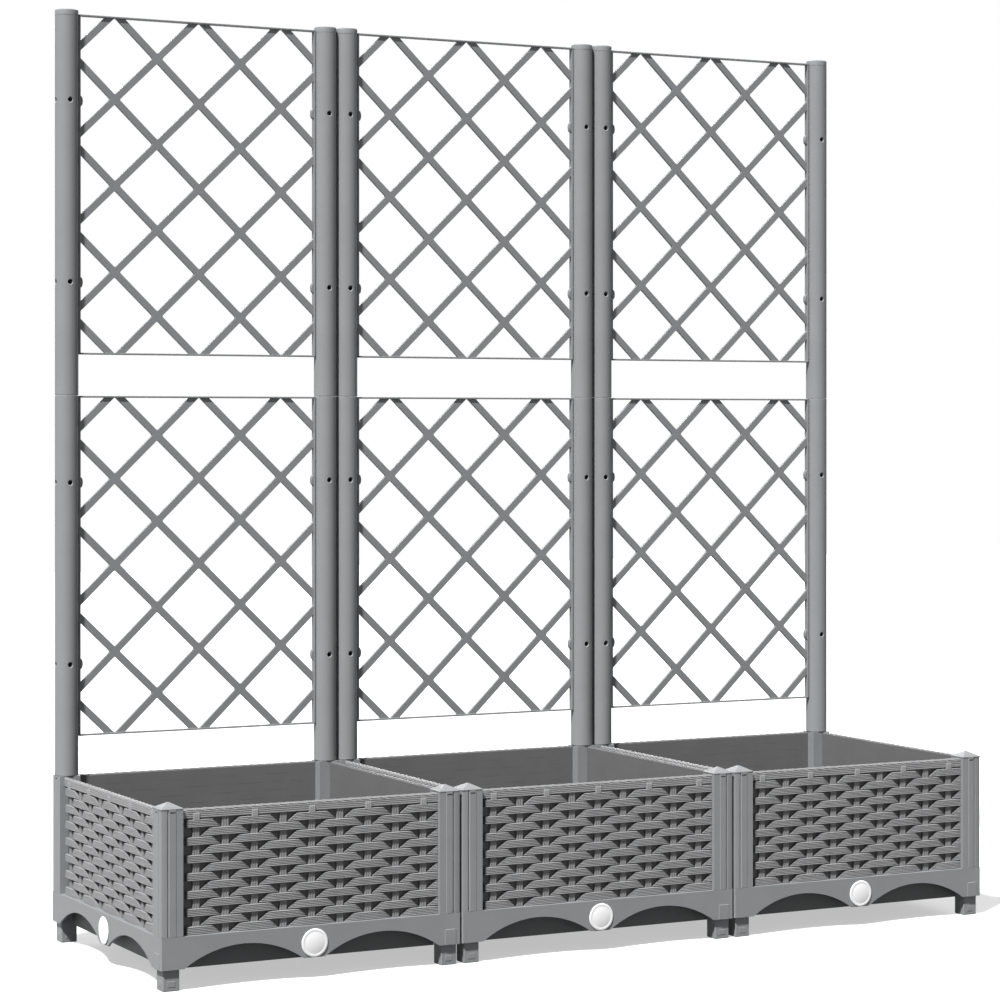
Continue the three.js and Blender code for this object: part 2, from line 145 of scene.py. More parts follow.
# ---------------------------------------------------------------- sizes of the pillars
# Outer face, from its inner edge to the corner: (distance from the corner, rise over the flat).
PILLAR_PROFILE = (
    (28, 0), (27.4, 0), (19.2, 0), (18.6, 0.5), (10.4, 0.5), (9.8, 0.1), (8.9, -1.7),
    (7.8, 0), (1, 0), (0.3, -0.3),
)
RIB_SLOT_START = 10.8 * MM  # from the corner of the pillar
RIB_SLOT_END = 17.9 * MM
RIB_SLOT_BELOW_TOP = 4.6 * MM
RIB_SLOT_HEIGHT = 1.9 * MM
RIB_SLOT_DEPTH = 1.6 * MM
CAP_PROFILE = ((0.45, 0), (0.45, 0.9), (-0.05, 1.3))  # (reach past the pillar, rise over it)
CAP_TIP = 0.4 * MM  # half the width of its flat tip

# ---------------------------------------------------------------- sizes of the base frames
SKIRT_WALL = 3 * MM
SKIRT_CORNER = 1.2 * MM
SKIRT_ROUNDING = 0.45 * MM
LEDGE_THICKNESS = 3 * MM
LEDGE_REACH = 16.1 * MM
ARCH_NEAR = 14 * MM
ARCH_FAR = PILLAR_INNER - MM
ARCH_RISE = 24.5 * MM
ARCH_STEPS = 28

FOOT_HALF = 10.5 * MM
FOOT_BEVEL = 0.8 * MM
FOOT_ROOT = 3 * MM  # how far a foot runs up into the frame
EMBOSS_HALF = 5 * MM
EMBOSS_LOW = 5 * MM
EMBOSS_HIGH = 12 * MM
EMBOSS_RISE = 0.4 * MM
EMBOSS_BEVEL = 0.3 * MM
CORNER_BLOCK_GAP = 0.5 * MM  # below the top of the skirt

PATCH_START = 176.7 * MM
PATCH_END = 192.4 * MM
PATCH_TOP = 45.3 * MM
PATCH_BELOW = 0.4 * MM  # how far it hangs under the skirt
PATCH_RISE = 0.6 * MM
PATCH_BEVEL = 0.5 * MM

# From its middle out to the rim and back under it: (radius, height over the skirt).
PLUG_PROFILE = (
    (0.3, 1.3), (12.6, 1.3), (13.1, 1.15), (13.9, 1.15), (14.4, 1.3), (16.7, 1.25),
    (17.3, 0.95), (17.5, 0.5), (17.4, 0.3), (8, 0.3),
)

# ---------------------------------------------------------------- sizes of the posts
ROUND_SIDES = 64
POST_RADIUS = 15.25 * MM
POST_WALL = 2.25 * MM
POST_SPIGOT = 8.7 * MM  # radius of the end that stands in the pillar
POST_EDGE = 0.5 * MM
POST_END_EDGE = 0.6 * MM
POST_CAP = 8 * MM
POST_SEAM = ((0, -0.4), (0.3, -0.2), (0.3, 0.1), (0, 0.3))  # (set in, rise over the cap's seam)
POST_CROWN = ((0, 1.6), (0.15, 0.9), (0.6, 0.4), (1.3, 0.15))  # (set in, depth below the top)

STUD_SPACING = 237 * MM
STUD_OFFSET = 9.5 * MM
STUD_HOLE_RADIUS = 3.1 * MM
COUNTERSINK_RADIUS = 4 * MM
COUNTERSINK_RIM = 0.15 * MM  # depths inside the post's radius
COUNTERSINK_DEPTH = 0.9 * MM
COUNTERSINK_FLARE = 1.2 * MM
HOLE_SIDES = 20

# ---------------------------------------------------------------- sizes of the lattice panels
LATTICE_BAR = 2.4 * MM
LATTICE_BAR_DEPTH = 8.4 * MM
LATTICE_BAR_BEVEL = 0.5 * MM
LATTICE_BAR_CLIP = 0.6  # share of a bar's width that the openings stay clear of
SLAT_WIDTH = 9.2 * MM
SLAT_DEPTH = 4 * MM
SLAT_EDGE = 0.3 * MM  # chamfer along the openings
SLAT_STEP_X = 59.2 * MM
SLAT_STEP_Z = 56.8 * MM
SLAT_ROUNDING = 2.2 * MM  # of the corners of an opening

BOSS_REACH = 3 * MM
BOSS_HALF_HEIGHT = 6.8 * MM
BOSS_INSET = 0.6 * MM  # from the front and back of the bar
BOSS_STEPS = 12
STUD_ROOT = 1 * MM  # how far a stud starts inside its bar
STUD_PROFILE = ((2.6, 0), (2.6, 3.4), (2.1, 3.9))  # (radius, distance from the root)
STUD_SIDES = 16

# ---------------------------------------------------------------- looks, lights and camera
CLOUD_SCALE, CLOUD_DETAIL, CLOUD_ROUGHNESS = 22, 5, 0.6
CLOUD_LOW, CLOUD_HIGH = 0.3, 0.7  # where the cloud turns to its darker and lighter tone
GRAIN_SCALE, GRAIN_DETAIL = 420, 3
GRAIN_STRENGTH = 0.05
GRAIN_HEIGHT = 0.3 * MM
GLOSS_LOW, GLOSS_HIGH = -0.06, 0.08  # change of roughness over the cloud
SPECULAR = 0.22
SHADED_FROM = 1.2 * MM  # behind the strips' front, where the painted shade on a wall starts
SHADED_TO = 5 * MM
SHADED_SHARE = 0.5

SOFT_EDGE = 0.5 * MM
BEVEL_ANGLE = 50
FLOOR_HALF = 9
FLOOR_ROUGHNESS = 0.9
FLOOR_TONE = (0.1, 0.5)  # for the object's own light, and for what the camera sees
FLOOR_GLOW = (0, 0.5)
AMBIENT = (0.06, 0.44)  # from the side away from the light to the side that it comes from
AMBIENT_FROM = (-0.95, -0.3, 0)
KEY_ENERGY, KEY_ANGLE = 6.25, 4
KEY_FROM = (-0.46, -0.31, 0.83)
FILL_ENERGY, FILL_ANGLE = 2.6, 35
FILL_FROM = (0.36, 0.85, 0.38)
CAMERA_PLACE = (-1.82475, -3.43213, 0.6779)
CAMERA_TURN = -27.44
CAMERA_SENSOR = 36
CAMERA_LENS = 104.31
CAMERA_SHIFT = -0.0785


def mix(a, b, share):
    return a + (b - a) * share


def ease(share):
    """A smooth step from 0 to 1."""
    return share * share * (3 - 2 * share)


def quarter_turn(turn=1):
    return Matrix.Rotation(turn * math.pi / 2, 4, "Z")


def in_metres(profile):
    return [(a * MM, b * MM) for a, b in profile]


# ---------------------------------------------------------------- mesh helpers
class Shells:
    """Gathers closed shells as vertices and faces, and turns them into one mesh."""

    def __init__(self):
        self.verts = []
        self.faces = []

    def add(self, verts, faces):
        start = len(self.verts)
        self.verts.extend(verts)
        self.faces.extend([start + i for i in face] for face in faces)

    def add_moved(self, other, matrix):
        """Adds what another one has gathered, moved by a matrix."""
        self.add([tuple(matrix @ Vector(vert)) for vert in other.verts], other.faces)

    def loft(self, rings):
        """Quads between one ring of points and the next, and a face over each end."""
        count = len(rings[0])
        verts = [point for ring in rings for point in ring]
        faces = []
        for row in range(len(rings) - 1):
            for i in range(count):
                j = (i + 1) % count
                a, b = row * count, (row + 1) * count
                faces.append([a + i, a + j, b + j, b + i])
        faces.append(list(reversed(range(count))))
        faces.append([(len(rings) - 1) * count + i for i in range(count)])
        self.add(verts, faces)

    def block(self, low, high, bevel=0.0):
        """A box between two corners, its edges chamfered by bevel."""
        rings = []
        levels = [(low[2], bevel), (low[2] + bevel, 0), (high[2] - bevel, 0), (high[2], bevel)]
        for z, inset in levels if bevel else [(low[2], 0), (high[2], 0)]:
            ring = chamfered(low[0] + inset, low[1] + inset, high[0] - inset, high[1] - inset, bevel)
            rings.append([(x, y, z) for x, y in ring])
        self.loft(rings)

    def turned(self, profile, sides):
        """A profile of (radius, z) points turned about a vertical axis, closed by its ends."""
        rings = []
        for radius, z in profile:
            angles = [2 * math.pi * i / sides for i in range(sides)]
            rings.append([(radius * math.cos(a), radius * math.sin(a), z) for a in angles])
        self.loft(rings)

    def mesh(self, name, smooth_angle=35):
        mesh = bpy.data.meshes.new(name)
        mesh.from_pydata(self.verts, [], self.faces)
        return tidied(mesh, smooth_angle)


def tidied(mesh, smooth_angle):
    """Merges doubles, points the faces outward and shades smooth below the given angle."""
    work = bmesh.new()
    work.from_mesh(mesh)
    bmesh.ops.remove_doubles(work, verts=work.verts, dist=1e-6)
    bmesh.ops.dissolve_degenerate(work, edges=work.edges, dist=1e-7)
    bmesh.ops.recalc_face_normals(work, faces=work.faces)
    work.to_mesh(mesh)
    work.free()
    mesh.polygons.foreach_set("use_smooth", [True] * len(mesh.polygons))
    mesh.set_sharp_from_angle(angle=math.radians(smooth_angle))
    mesh.update()
    return mesh


def chamfered(x0, y0, x1, y1, cut):
    """The outline of a rectangle, anticlockwise, with its corners cut off."""
    if not cut:
        return [(x0, y0), (x1, y0), (x1, y1), (x0, y1)]
    return [
        (x0 + cut, y0), (x1 - cut, y0), (x1, y0 + cut), (x1, y1 - cut),
        (x1 - cut, y1), (x0 + cut, y1), (x0, y1 - cut), (x0, y0 + cut),
    ]


def in_scene(name, data):
    """A new object, linked to the scene."""
    piece = bpy.data.objects.new(name, data)
    bpy.context.scene.collection.objects.link(piece)
    return piece


def with_modifiers(holder):
    """The mesh of an object with its modifiers applied."""
    bpy.context.view_layer.update()
    evaluated = holder.evaluated_get(bpy.context.evaluated_depsgraph_get())
    return bpy.data.meshes.new_from_object(evaluated)


def joined(base, others, operation, name):
    """The mesh of base with the others cut from it or added to it."""
    holder = in_scene("work", base)
    helpers = []
    for other in others:
        helper = in_scene("work_other", other)
        modifier = holder.modifiers.new("join", "BOOLEAN")
        modifier.operation = operation
        modifier.solver = "EXACT"
        modifier.use_self = operation == "UNION"
        modifier.object = helper
        helpers.append(helper)
    result = with_modifiers(holder)
    result.name = name
    for item in [holder, *helpers]:
        bpy.data.objects.remove(item)
    return result


def add_bevel(piece, name, width):
    """A modifier that rounds the sharp edges of a piece."""
    modifier = piece.modifiers.new(name, "BEVEL")
    modifier.width = width
    modifier.segments = 2
    modifier.limit_method = "ANGLE"
    modifier.angle_limit = math.radians(BEVEL_ANGLE)


def bevelled(mesh, width):
    """The mesh with its sharp edges rounded."""
    holder = in_scene("work", mesh)
    add_bevel(holder, "bevel", width)
    result = with_modifiers(holder)
    bpy.data.objects.remove(holder)
    return result


def place(name, mesh, material, node, x=0.0, y=0.0, turn=0):
    """Shows a mesh in place of a CAD node, turned about the box's middle and then moved."""
    if not mesh.materials:
        mesh.materials.append(material)
    piece = in_scene(name, mesh)
    piece.matrix_world = Matrix.Translation((x, y, 0)) @ quarter_turn(turn)
    bpy.context.view_layer.update()
    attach(piece, "root")
    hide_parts(node)


# ---------------------------------------------------------------- materials
def node_tree(name):
    material = bpy.data.materials.new(name)
    material.use_nodes = True
    tree = material.node_tree
    return material, tree, tree.nodes["Principled BSDF"]


def noise(tree, where, scale, detail):
    texture = tree.nodes.new("ShaderNodeTexNoise")
    texture.inputs["Scale"].default_value = scale
    texture.inputs["Detail"].default_value = detail
    tree.links.new(where, texture.inputs["Vector"])
    return texture


def spread(tree, value, low, high, start=0, end=1):
    """A value that runs from start to end, mapped to run from low to high."""
    level = tree.nodes.new("ShaderNodeMapRange")
    for socket, number in (("From Min", start), ("From Max", end), ("To Min", low), ("To Max", high)):
        level.inputs[socket].default_value = number
    tree.links.new(value, level.inputs["Value"])
    return level.outputs["Result"]


def painted_recess_shade(tree, where, tone):
    """The tone made darker towards the back of a woven wall: painted shade for the recesses of the
    weave, where less light reaches.
    """
    parts = tree.nodes.new("ShaderNodeSeparateXYZ")
    tree.links.new(where, parts.inputs["Vector"])
    front, back = SHADED_FROM - STRIP_FRONT, SHADED_TO - STRIP_FRONT
    darker = tree.nodes.new("ShaderNodeMix")
    darker.data_type = "RGBA"
    darker.blend_type = "MULTIPLY"
    share = spread(tree, parts.outputs["Y"], SHADED_SHARE, 0, back, front)
    tree.links.new(share, darker.inputs["Factor"])
    colours = [socket for socket in darker.inputs if socket.type == "RGBA"]
    tree.links.new(tone, colours[0])
    colours[1].default_value = (0, 0, 0, 1)
    return next(socket for socket in darker.outputs if socket.type == "RGBA")


def mottled(tree, cloud, colour, mottle):
    """The colour made slightly darker and lighter over a cloud."""
    shades = tree.nodes.new("ShaderNodeValToRGB")
    dark, light = shades.color_ramp.elements
    dark.position, light.position = CLOUD_LOW, CLOUD_HIGH
    dark.color = [c * (1 - mottle) for c in colour] + [1]
    light.color = [min(1, c * (1 + mottle)) for c in colour] + [1]
    tree.links.new(cloud, shades.inputs["Fac"])
    return shades.outputs["Color"]


def grain(tree, where):
    """The normal of a surface with a fine moulded grain."""
    relief = tree.nodes.new("ShaderNodeBump")
    relief.inputs["Strength"].default_value = GRAIN_STRENGTH
    relief.inputs["Distance"].default_value = GRAIN_HEIGHT
    fine = noise(tree, where, GRAIN_SCALE, GRAIN_DETAIL)
    tree.links.new(fine.outputs["Fac"], relief.inputs["Height"])
    return relief.outputs["Normal"]


def plastic(name, colour, roughness, mottle=0.04, woven=False):
    """Moulded plastic: slightly uneven in colour and gloss, with a fine grain."""
    material, tree, shader = node_tree(name)
    where = tree.nodes.new("ShaderNodeTexCoord").outputs["Object"]
    texture = noise(tree, where, CLOUD_SCALE, CLOUD_DETAIL)
    texture.inputs["Roughness"].default_value = CLOUD_ROUGHNESS
    cloud = texture.outputs["Fac"]
    tone = mottled(tree, cloud, colour, mottle)
    # painted shade: the weave is darkened towards its back to stand in for the shade in its recesses
    if woven:
        tone = painted_recess_shade(tree, where, tone)
    gloss = spread(tree, cloud, roughness + GLOSS_LOW, roughness + GLOSS_HIGH)
    tree.links.new(tone, shader.inputs["Base Color"])
    tree.links.new(gloss, shader.inputs["Roughness"])
    tree.links.new(grain(tree, where), shader.inputs["Normal"])
    shader.inputs["Specular IOR Level"].default_value = SPECULAR
    return material


SMOOTH = plastic("smooth_grey_plastic", (0.244, 0.251, 0.258), 0.55)
# woven=True paints shade into the recesses of the weave
WOVEN = plastic("woven_grey_plastic", (0.26, 0.26, 0.264), 0.6, mottle=0.05, woven=True)
LATTICE = plastic("lattice_grey_plastic", (0.226, 0.231, 0.236), 0.55)
# the dark tone of trays and links is painted shade for the shaded space inside the skirts
TRAY_PAINTED_SHADE = plastic("tray_plastic_painted_shade", (0.12, 0.125, 0.127), 0.6)
WHITE = plastic("white_plastic", (0.9, 0.9, 0.9), 0.4, mottle=0.015)


# ---------------------------------------------------------------- woven walls
def ribbed(width, ribs, depth, round_off):
    """(across, rise) points over a strip or stake with rounded ribs and rounded edges."""
    points = []
    for i in range(ribs * RIB_STEPS + 1):
        share = i / (ribs * RIB_STEPS)
        across = (share - 0.5) * width
        rise = depth * (abs(math.sin(math.pi * ribs * share)) ** 0.5 - 1)
        edge = min(share, 1 - share) * width
        if edge < round_off:
            rise -= round_off * (1 - math.sqrt(1 - (1 - edge / round_off) ** 2))
        points.append((across, rise))
    return points


def strip_arch(away):
    """How far a strip curves back at a distance from the stake that it covers."""
    return STRIP_ARCH * ease(min(1, max(0, (away - STRIP_FLAT) / (STAKE_PITCH - STRIP_FLAT))))


def strip_dip(away, reach):
    """The same with the step down into the plate where the strip ends."""
    share = min(1, max(0, (away - reach) / STRIP_CUT + 0.5))
    return mix(strip_arch(away), STRIP_FRONT - PLATE_FRONT + STRIP_CUT_SUNK, share)


def strip_stations(reach):
    """Distances from the covered stake out to the next one, for a line along a strip."""
    curve = [share * reach for share in STRIP_STATIONS]
    step = [reach - STRIP_CUT / 2, reach + STRIP_CUT / 2]
    return [0, *curve, *step, STAKE_PITCH]


def stake_x(count):
    return (count - (STAKE_COUNT - 1) / 2) * STAKE_PITCH


def row_ring(z, over, side, station, start, end):
    """The section of a row at one station beside the stake at over, and whether it lies between
    start and end."""
    ring = []
    inside = False
    for across, rise in ribbed(STRIP_HEIGHT, STRIP_RIBS, STRIP_RIB_DEPTH, STRIP_ROUNDING):
        reach = mix(STRIP_LOWER_REACH, STRIP_UPPER_REACH, across / STRIP_HEIGHT + 0.5)
        wanted = over + side * strip_stations(reach)[station]
        x = min(max(wanted, start), end)
        inside = inside or x == wanted
        away = abs(x - over)
        sag = STRIP_SAG * strip_arch(away) / STRIP_ARCH
        ring.append((x, -STRIP_FRONT + strip_dip(away, reach) - rise, z - sag + across))
    back = -PLATE_FRONT + STRIP_SUNK
    ring += [(ring[-1][0], back, ring[-1][2]), (ring[0][0], back, ring[0][2])]
    return ring, inside


def woven_row(shells, z, parity, start, end):
    """One row: a ribbed ribbon that lies over every other stake, on a longer stretch along its
    lower edge, and goes behind the stakes between."""
    last = len(strip_stations(STRIP_UPPER_REACH)) - 1
    sections = []
    for count in range(parity - 2, STAKE_COUNT + 2, 2):
        for step in range(-last, last):
            side = 1 if step > 0 else -1
            sections.append(row_ring(z, stake_x(count), side, abs(step), start, end))
    kept = [i for i, (_, inside) in enumerate(sections) if inside]
    shells.loft([ring for ring, _ in sections[kept[0] - 1:kept[-1] + 2]])


def stake(shells, x, low, high):
    """A vertical stake of the weave, with fine upright ribs."""
    profile = ribbed(STAKE_WIDTH, STAKE_RIBS, STAKE_RIB_DEPTH, STAKE_ROUNDING)
    back = -PLATE_FRONT + STAKE_SUNK
    rings = []
    for z in (low, high):
        ring = [(x + across, -STRIP_FRONT + STAKE_DEPTH - rise, z) for across, rise in profile]
        ring += [(x + side * STAKE_WIDTH / 2, back, z) for side in (1, -1)]
        rings.append(ring)
    shells.loft(rings)


def stake_end(shells, x, low, high):
    """The end of a stake where it laps over the top rail."""
    profile = ribbed(STAKE_END_WIDTH, STAKE_RIBS, STAKE_END_RIB_DEPTH, STAKE_END_ROUNDING)
    back = -PLATE_FRONT + STAKE_END_SUNK
    rings = []
    for share, set_back in STAKE_END_PROFILE:
        z = mix(low, high, share)
        ring = [(x + across, -STRIP_FRONT + set_back * MM - rise, z) for across, rise in profile]
        ring += [(x + side * STAKE_END_WIDTH / 2, back, z) for side in (1, -1)]
        rings.append(ring)
    shells.loft(rings)


def top_rail(shells, low, high, start, end):
    """The rail along the top of a wall, with fine lines along its front."""
    profile = ribbed(high - low, RAIL_RIBS, RAIL_RIB_DEPTH, RAIL_ROUNDING)
    middle = (low + high) / 2
    front, back = -STRIP_FRONT + RAIL_SET_BACK, -PLATE_FRONT + STRIP_SUNK
    rings = []
    for x in (start, end):
        ring = [(x, front - rise, middle + across) for across, rise in profile]
        ring += [(x, back, high), (x, back, low)]
        rings.append(ring)
    shells.loft(rings)


def braid(shells, top, start, end):
    """Two strands twisted round each other along the top edge of a wall."""
    middle_y = -(STRIP_FRONT + PLATE_BACK) / 2
    rise = BRAID_FLATNESS * BRAID_SWEEP
    width = BRAID_WIDENING * BRAID_RADIUS
    angles = [2 * math.pi * i / BRAID_SIDES for i in range(BRAID_SIDES)]
    steps = int((end - start) / (BRAID_PITCH / BRAID_STEPS))
    for strand in (0, 1):
        rings = []
        for step in range(steps + 1):
            x = mix(start, end, step / steps)
            turn = math.pi * (x / BRAID_PITCH + strand)
            y = middle_y + BRAID_SWEEP * math.cos(turn)
            z = top - BRAID_RADIUS - rise + rise * math.sin(turn)
            rings.append([(x, y + width * math.cos(a), z + BRAID_RADIUS * math.sin(a)) for a in angles])
        shells.loft(rings)


def wall_mesh():
    low, high = WALL_LOW.z, WALL_HIGH.z
    start, end = STRIP_START_GAP - PILLAR_INNER, PILLAR_INNER - CLEARANCE
    reach = end + PLATE_LAP
    shells = Shells()
    shells.block((-reach, -PLATE_FRONT, low), (reach, -PLATE_BACK, high - PLATE_BELOW_EDGE))
    rail_low = high - RAIL_HEIGHT
    for count in range(STAKE_COUNT):
        x = stake_x(count)
        stake(shells, x, low, rail_low + STAKE_LAP)
        if count % 2 == 0:
            stake_end(shells, x, rail_low - STAKE_END_BELOW_RAIL, high - STAKE_END_BELOW_EDGE)
    z = rail_low - RAIL_TO_STRIP - STRIP_HEIGHT / 2
    parity = 0
    while z + STRIP_HEIGHT / 2 > low + LOWEST_ROW_GAP:
        woven_row(shells, z, parity, stake_x(0) if parity else start, end)
        z -= ROW_PITCH
        parity = 1 - parity
    top_rail(shells, rail_low, high - RAIL_BELOW_EDGE, -end, end)
    braid(shells, high, -end, end)
    return shells.mesh("woven_wall", smooth_angle=50)


# ---------------------------------------------------------------- pillars
def pillar_outline():
    """The front left pillar from above, about its own axis: both outer faces carry a groove and
    a flat rib, mirrored about the outer corner."""
    w = PILLAR_WIDTH / 2
    front = [(along - w, -w - rise) for along, rise in in_metres(PILLAR_PROFILE)]
    side = [(y, x) for x, y in reversed(front[:-1])]
    return front + side + [(w, w)]


def pillar_cap():
    """The rings of a low pyramid with a small eave."""
    w = PILLAR_WIDTH / 2
    levels = [(w + past, PILLAR_TOP + rise) for past, rise in in_metres(CAP_PROFILE)]
    rings = []
    for reach, z in [*levels, (CAP_TIP, PILLAR_HIGH.z)]:
        rings.append([(x, y, z) for x, y in chamfered(-reach, -reach, reach, reach, 0)])
    return rings


def rib_slots():
    """A cutter for the slot near the top of each rib."""
    w = PILLAR_WIDTH / 2
    near, far, deep, clear = RIB_SLOT_START - w, RIB_SLOT_END - w, RIB_SLOT_DEPTH - w, -w - 2 * MM
    low = PILLAR_TOP - RIB_SLOT_BELOW_TOP
    high = low + RIB_SLOT_HEIGHT
    slots = Shells()
    slots.block((near, clear, low), (far, deep, high))
    slots.block((clear, near, low), (deep, far, high))
    return slots.mesh("slots")


def pillar_mesh(name, capped):
    shells = Shells()
    outline = pillar_outline()
    shells.loft([[(x, y, z) for x, y in outline] for z in (PILLAR_LOW.z, PILLAR_TOP)])
    if capped:
        shells.loft(pillar_cap())
    solid = shells.mesh(name, smooth_angle=25)
    slotted = tidied(joined(solid, [rib_slots()], "DIFFERENCE", name), smooth_angle=25)
    slotted.transform(Matrix.Translation((-PILLAR_CENTRE, -PILLAR_CENTRE, 0)))
    return slotted


# ---------------------------------------------------------------- base frames
def arch_curve():
    """(x, z) points of one arch from its near end to its far end, in shallow curves that run out
    into the lower edge."""
    chord = ARCH_FAR - ARCH_NEAR
    radius = (chord * chord / 4 + ARCH_RISE * ARCH_RISE) / (2 * ARCH_RISE)
    reach = math.asin(chord / 2 / radius)
    middle = ARCH_NEAR + chord / 2
    points = []
    for step in range(ARCH_STEPS + 1):
        angle = reach * (2 * step / ARCH_STEPS - 1)
        x = middle + radius * math.sin(angle)
        z = FOOT_HEIGHT + ARCH_RISE - radius + radius * math.cos(angle)
        points.append((x, z))
    return points


def arch_cutter():
    """A prism for each arch, through the front and rear of the frame."""
    shells = Shells()
    for sign in (-1, 1):
        arch = [(sign * x, z) for x, z in arch_curve()]
        arch += [(sign * x, FOOT_HEIGHT - MM) for x in (ARCH_FAR, ARCH_NEAR)]
        shells.loft([[(x, y, z) for x, z in arch] for y in (-HALF - MM, HALF + MM)])
    return shells.mesh("arches")


def skirt_mesh():
    """The hollow skirt with its inner ledge and its arches."""
    ring = Shells()
    outline = chamfered(-HALF, -HALF, HALF, HALF, SKIRT_CORNER)
    ring.loft([[(x, y, z) for x, y in outline] for z in (FOOT_HEIGHT, SKIRT_TOP)])
    cuts = []
    below_ledge = (HALF - SKIRT_WALL, SKIRT_TOP - LEDGE_THICKNESS)
    past_ledge = (HALF - LEDGE_REACH, SKIRT_TOP + MM)
    for reach, top in (below_ledge, past_ledge):
        hollow = Shells()
        hollow.block((-reach, -reach, 0), (reach, reach, top))
        cuts.append(hollow.mesh("hollow"))
    arches = arch_cutter()
    side_arches = arches.copy()
    side_arches.transform(quarter_turn())
    cuts += [arches, side_arches]
    return tidied(joined(ring.mesh("ring"), cuts, "DIFFERENCE", "skirt"), smooth_angle=30)


def feet_mesh():
    """The feet with their raised rectangles, and a block in each corner of the skirt."""
    shells = Shells()
    out = FOOT_HALF + EMBOSS_RISE
    block_end = HALF - SKIRT_WALL + MM
    for sx, sy in ((-1, -1), (-1, 1), (1, -1), (1, 1)):
        x, y, w = sx * PILLAR_CENTRE, sy * PILLAR_CENTRE, FOOT_HALF
        shells.block((x - w, y - w, 0), (x + w, y + w, FOOT_HEIGHT + FOOT_ROOT), FOOT_BEVEL)
        (x0, x1), (y0, y1) = (sorted((s * PILLAR_INNER, s * block_end)) for s in (sx, sy))
        shells.block((x0, y0, FOOT_HEIGHT), (x1, y1, SKIRT_TOP - CORNER_BLOCK_GAP))
        for half_x, half_y in ((EMBOSS_HALF, out), (out, EMBOSS_HALF)):
            low = (x - half_x, y - half_y, EMBOSS_LOW)
            high = (x + half_x, y + half_y, EMBOSS_HIGH)
            shells.block(low, high, EMBOSS_BEVEL)
    return shells.mesh("feet")


def patch_mesh():
    """A small latch patch at the right end of each side of the skirt."""
    patch = Shells()
    low = Vector((PATCH_START, -HALF - PATCH_RISE, FOOT_HEIGHT - PATCH_BELOW))
    patch.block(low, Vector((PATCH_END, -HALF + MM, PATCH_TOP)), PATCH_BEVEL)
    shells = Shells()
    for turn in range(4):
        shells.add_moved(patch, quarter_turn(turn))
    return shells.mesh("patches")


def base_mesh():
    solid = skirt_mesh()
    for part in (feet_mesh(), patch_mesh()):
        solid = tidied(joined(solid, [part], "UNION", "base"), smooth_angle=30)
    return tidied(bevelled(solid, SKIRT_ROUNDING), smooth_angle=40)


# ---------------------------------------------------------------- plugs
def plug_mesh():
    """A blank round plug with a soft edge and a faint ring near its rim."""
    shells = Shells()
    shells.turned(in_metres(reversed(PLUG_PROFILE)), ROUND_SIDES)
    mesh = shells.mesh("plug", smooth_angle=40)
    low, high = (Vector(corner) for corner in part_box("middle_plug_front"))
    tilt = Matrix.Rotation(math.pi / 2, 4, "X")
    mesh.transform(Matrix.Translation((0, -HALF, (low.z + high.z) / 2)) @ tilt)
    return mesh


# ---------------------------------------------------------------- posts
def stud_levels(level):
    low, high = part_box(f"middle_lattice_{level}")
    middle = (low[2] + high[2]) / 2 - STUD_OFFSET
    return (middle - STUD_SPACING / 2, middle + STUD_SPACING / 2)


def hole_cutters(level):
    """Countersunk holes through the post along both X and Y."""
    half = [
        (COUNTERSINK_RADIUS + COUNTERSINK_FLARE, POST_RADIUS + MM),
        (COUNTERSINK_RADIUS, POST_RADIUS - COUNTERSINK_RIM),
        (STUD_HOLE_RADIUS, POST_RADIUS - COUNTERSINK_DEPTH),
    ]
    drill = Shells()
    drill.turned([(radius, -z) for radius, z in half] + half[::-1], HOLE_SIDES)
    shells = Shells()
    for z in stud_levels(level):
        for axis in ("X", "Y"):
            turn = Matrix.Rotation(math.pi / 2, 4, axis)
            shells.add_moved(drill, Matrix.Translation((0, 0, z)) @ turn)
    return shells.mesh("holes")


def lower_profile():
    """(radius, z) points of a lower tube, from the foot of its spigot over its outside."""
    r = POST_RADIUS
    foot, end = PILLAR_TOP + CLEARANCE, UPPER_POST_LOW.z - CLEARANCE
    return [
        (POST_SPIGOT, LOWER_POST_LOW.z), (POST_SPIGOT, foot),
        (r - POST_EDGE, foot), (r, foot + POST_EDGE),
        (r, end - POST_END_EDGE), (r - POST_EDGE, end),
        (r - POST_WALL, end), (r - POST_WALL, foot + POST_WALL),
    ]


def upper_profile():
    """The same of an upper tube, from its bore over its outside to the middle of its cap."""
    r = POST_RADIUS
    joint, top = UPPER_POST_LOW.z, UPPER_POST_HIGH.z
    seam = top - POST_CAP
    return [
        (r - POST_WALL, seam), (r - POST_WALL, joint), (r - POST_EDGE, joint), (r, joint + POST_EDGE),
        *[(r - inset, seam + rise) for inset, rise in in_metres(POST_SEAM)],
        *[(r - inset, top - depth) for inset, depth in in_metres(POST_CROWN)],
        (0.5 * r, top), (0.1 * MM, top),
    ]


def post_mesh(level):
    shells = Shells()
    shells.turned(lower_profile() if level == "lower" else upper_profile(), ROUND_SIDES)
    name = f"post_{level}"
    drilled = joined(shells.mesh(name), [hole_cutters(level)], "DIFFERENCE", name)
    return tidied(drilled, smooth_angle=35)


# ---------------------------------------------------------------- lattice panels
def offset_outline(points, width):
    """The convex outline moved outward by width."""
    count = len(points)
    moved = []
    for i in range(count):
        before, here, after = (Vector(points[(i + k - 1) % count]) for k in range(3))
        first, second = (here - before).normalized(), (after - here).normalized()
        normal = Vector((first.y, -first.x))
        out = normal + Vector((second.y, -second.x))
        out.normalize()
        moved.append(tuple(here + out * (width / max(0.3, out.dot(normal)))))
    return moved


def rounded_outline(points, radius, steps=3):
    """The convex outline with its corners rounded."""
    count = len(points)
    result = []
    for i in range(count):
        before, here, after = (Vector(points[(i + k - 1) % count]) for k in range(3))
        limit = 0.45 * min((before - here).length, (after - here).length)
        cut = min(radius, limit)
        start = here + (before - here).normalized() * cut
        end = here + (after - here).normalized() * cut
        for step in range(steps + 1):
            share = step / steps
            a, b = start.lerp(here, share), here.lerp(end, share)
            result.append(tuple(a.lerp(b, share)))
    return result


